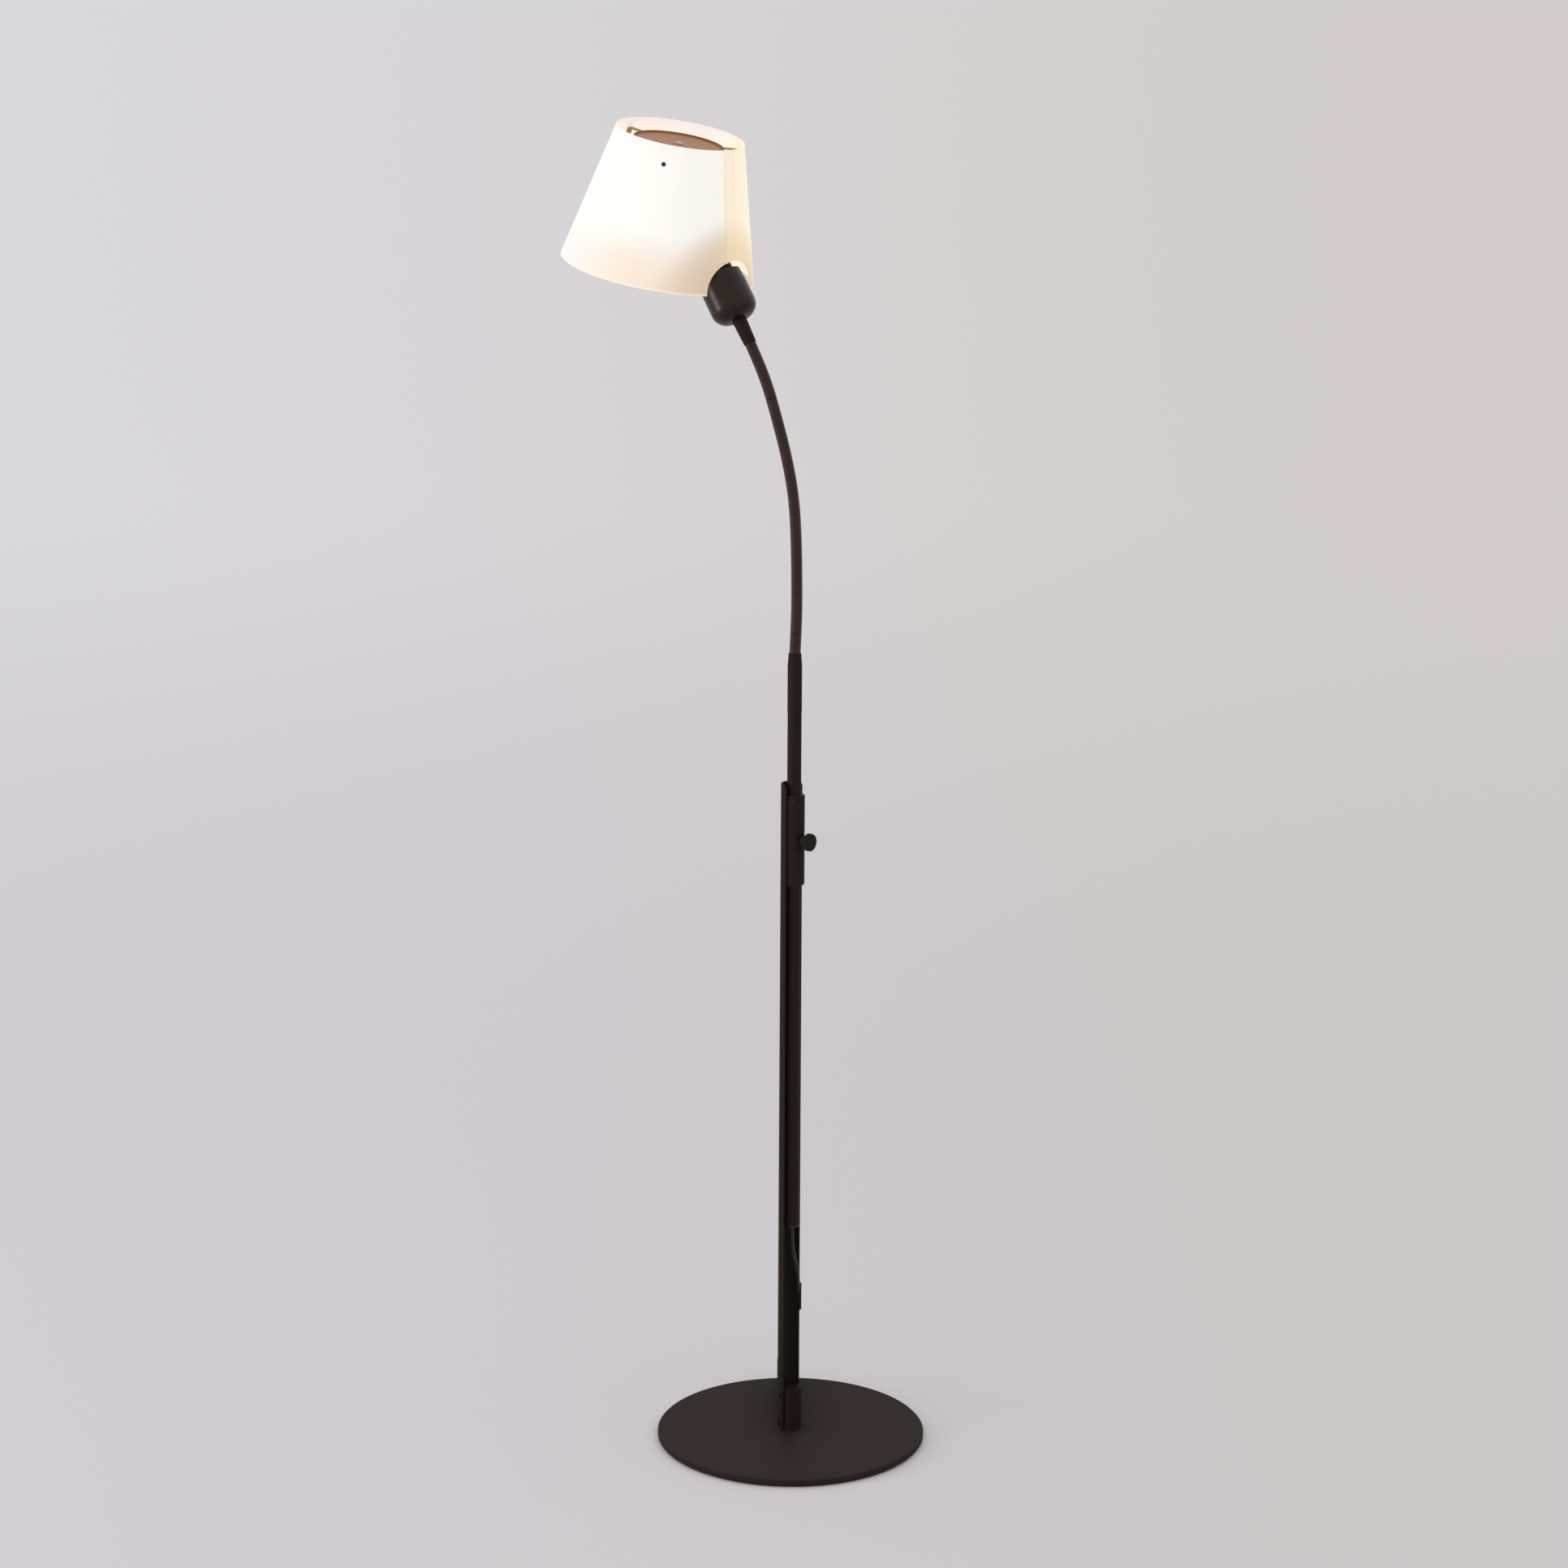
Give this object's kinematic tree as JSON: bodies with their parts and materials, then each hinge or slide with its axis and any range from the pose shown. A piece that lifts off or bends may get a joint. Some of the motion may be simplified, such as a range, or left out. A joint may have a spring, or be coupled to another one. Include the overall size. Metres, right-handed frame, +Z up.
{
  "type": "floor lamp",
  "caption": "Gooseneck reading floor lamp: round base, half-pipe column with a sliding, clamped tube, ribbed flexible neck and conical shade.",
  "frame": {"origin": "centre of the base's underside, on the floor, under the column's axis", "axes": "+Z up; +X to the clamp knob's side; the neck and the head lean towards -X; +Y completes a right-handed frame"},
  "size_m": [0.4704, 0.3, 1.4803],
  "materials": {
    "felt": "matte",
    "brown_paint": "satin",
    "dark_steel": "satin",
    "steel": "satin",
    "black_rubber": "matte",
    "black_plastic": "matte",
    "white_nylon": "matte",
    "brass": "satin",
    "alloy": "satin",
    "frosted_glass": "satin",
    "shade_white": "matte"
  },
  "bodies": {
    "stand": {"base_felt": "felt", "base_plate": "brown_paint", "base_bolt": "steel", "foot_stub": "brown_paint", "stub_screws": "steel", "column_channel": "brown_paint", "sleeve_screws": "steel", "cord_grommet": "black_rubber", "guide_sleeve": "brown_paint", "guide_bushes": "white_nylon", "bush_screws": "steel", "brake_pad": "white_nylon", "hanging_cable": "black_rubber", "power_cord": "black_rubber", "cord_hank": "black_rubber", "cord_tie": "black_plastic", "plug_body": "black_plastic", "plug_blades": "brass"},
    "knob": {"clamp_spindle": "steel", "clamp_knob": "dark_steel"},
    "lift": {"tube_end_plug": "black_plastic", "inner_cable": "black_rubber"},
    "rod": {"inner_rod": "brown_paint", "lower_ferrule": "dark_steel", "neck_link_1": "dark_steel", "neck_cable_1": "black_rubber"},
    "neck_2": {"neck_link_2": "dark_steel", "neck_cable_2": "black_rubber"},
    "neck_3": {"neck_link_3": "dark_steel", "neck_cable_3": "black_rubber"},
    "neck_4": {"neck_link_4": "dark_steel", "neck_cable_4": "black_rubber"},
    "neck_5": {"neck_link_5": "dark_steel", "neck_cable_5": "black_rubber"},
    "neck_6": {"neck_link_6": "dark_steel", "neck_cable_6": "black_rubber"},
    "neck_7": {"neck_link_7": "dark_steel", "neck_cable_7": "black_rubber"},
    "head": {"neck_link_8": "dark_steel", "neck_cable_8": "black_rubber", "head_cable": "black_rubber", "upper_ferrule": "dark_steel", "head_cup": "dark_steel", "cup_nipple": "brass", "cup_nut": "brass", "lamp_holder": "black_plastic", "holder_contacts": "brass", "holder_ring": "black_plastic", "bulb_cap": "alloy", "bulb_glass": "frosted_glass", "shade_harp": "steel"},
    "shade": {"shade_shell": "shade_white", "heat_disc": "dark_steel", "shade_pins": "steel", "pivot_block": "alloy", "pivot_screw": "steel"}
  },
  "joints": [
    {"name": "height_slide", "type": "slide", "parent": "stand", "child": "lift", "axis": [0, 0, 1], "range_m": [-0.05, 0.3], "deforming": ["hanging_cable"]},
    {"name": "arm_swivel", "type": "hinge", "parent": "lift", "child": "rod", "pos_m": [0, 0, 0.5], "axis": [0, 0, 1], "range_deg": [-170, 170]},
    {"name": "neck_bend_1", "type": "hinge", "parent": "rod", "child": "neck_2", "pos_m": [0.00241, 0, 0.93034], "axis": [0, 1, 0], "range_deg": [-12, 14]},
    {"name": "neck_bend_2", "type": "hinge", "parent": "neck_2", "child": "neck_3", "pos_m": [0.00202, 0, 0.97533], "axis": [0, 1, 0], "range_deg": [-12, 14]},
    {"name": "neck_bend_3", "type": "hinge", "parent": "neck_3", "child": "neck_4", "pos_m": [0.00061, 0, 1.02031], "axis": [0, 1, 0], "range_deg": [-12, 14]},
    {"name": "neck_bend_4", "type": "hinge", "parent": "neck_4", "child": "neck_5", "pos_m": [-0.00331, 0, 1.06333], "axis": [0, 1, 0], "range_deg": [-12, 14]},
    {"name": "neck_bend_5", "type": "hinge", "parent": "neck_5", "child": "neck_6", "pos_m": [-0.01403, 0, 1.10632], "axis": [0, 1, 0], "range_deg": [-12, 14]},
    {"name": "neck_bend_6", "type": "hinge", "parent": "neck_6", "child": "neck_7", "pos_m": [-0.02866, 0, 1.14834], "axis": [0, 1, 0], "range_deg": [-12, 14]},
    {"name": "neck_bend_7", "type": "hinge", "parent": "neck_7", "child": "head", "pos_m": [-0.04504, 0, 1.19036], "axis": [0, 1, 0], "range_deg": [-12, 14]},
    {"name": "shade_tilt", "type": "hinge", "parent": "head", "child": "shade", "pos_m": [-0.17931, 0, 1.44383], "axis": [0, 1, 0], "range_deg": [-30, 0]},
    {"name": "knob_turn", "type": "hinge", "parent": "stand", "child": "knob", "pos_m": [0.02, 0, 0.6735], "axis": [1, 0, 0], "range_deg": [0, 360]}
  ]
}
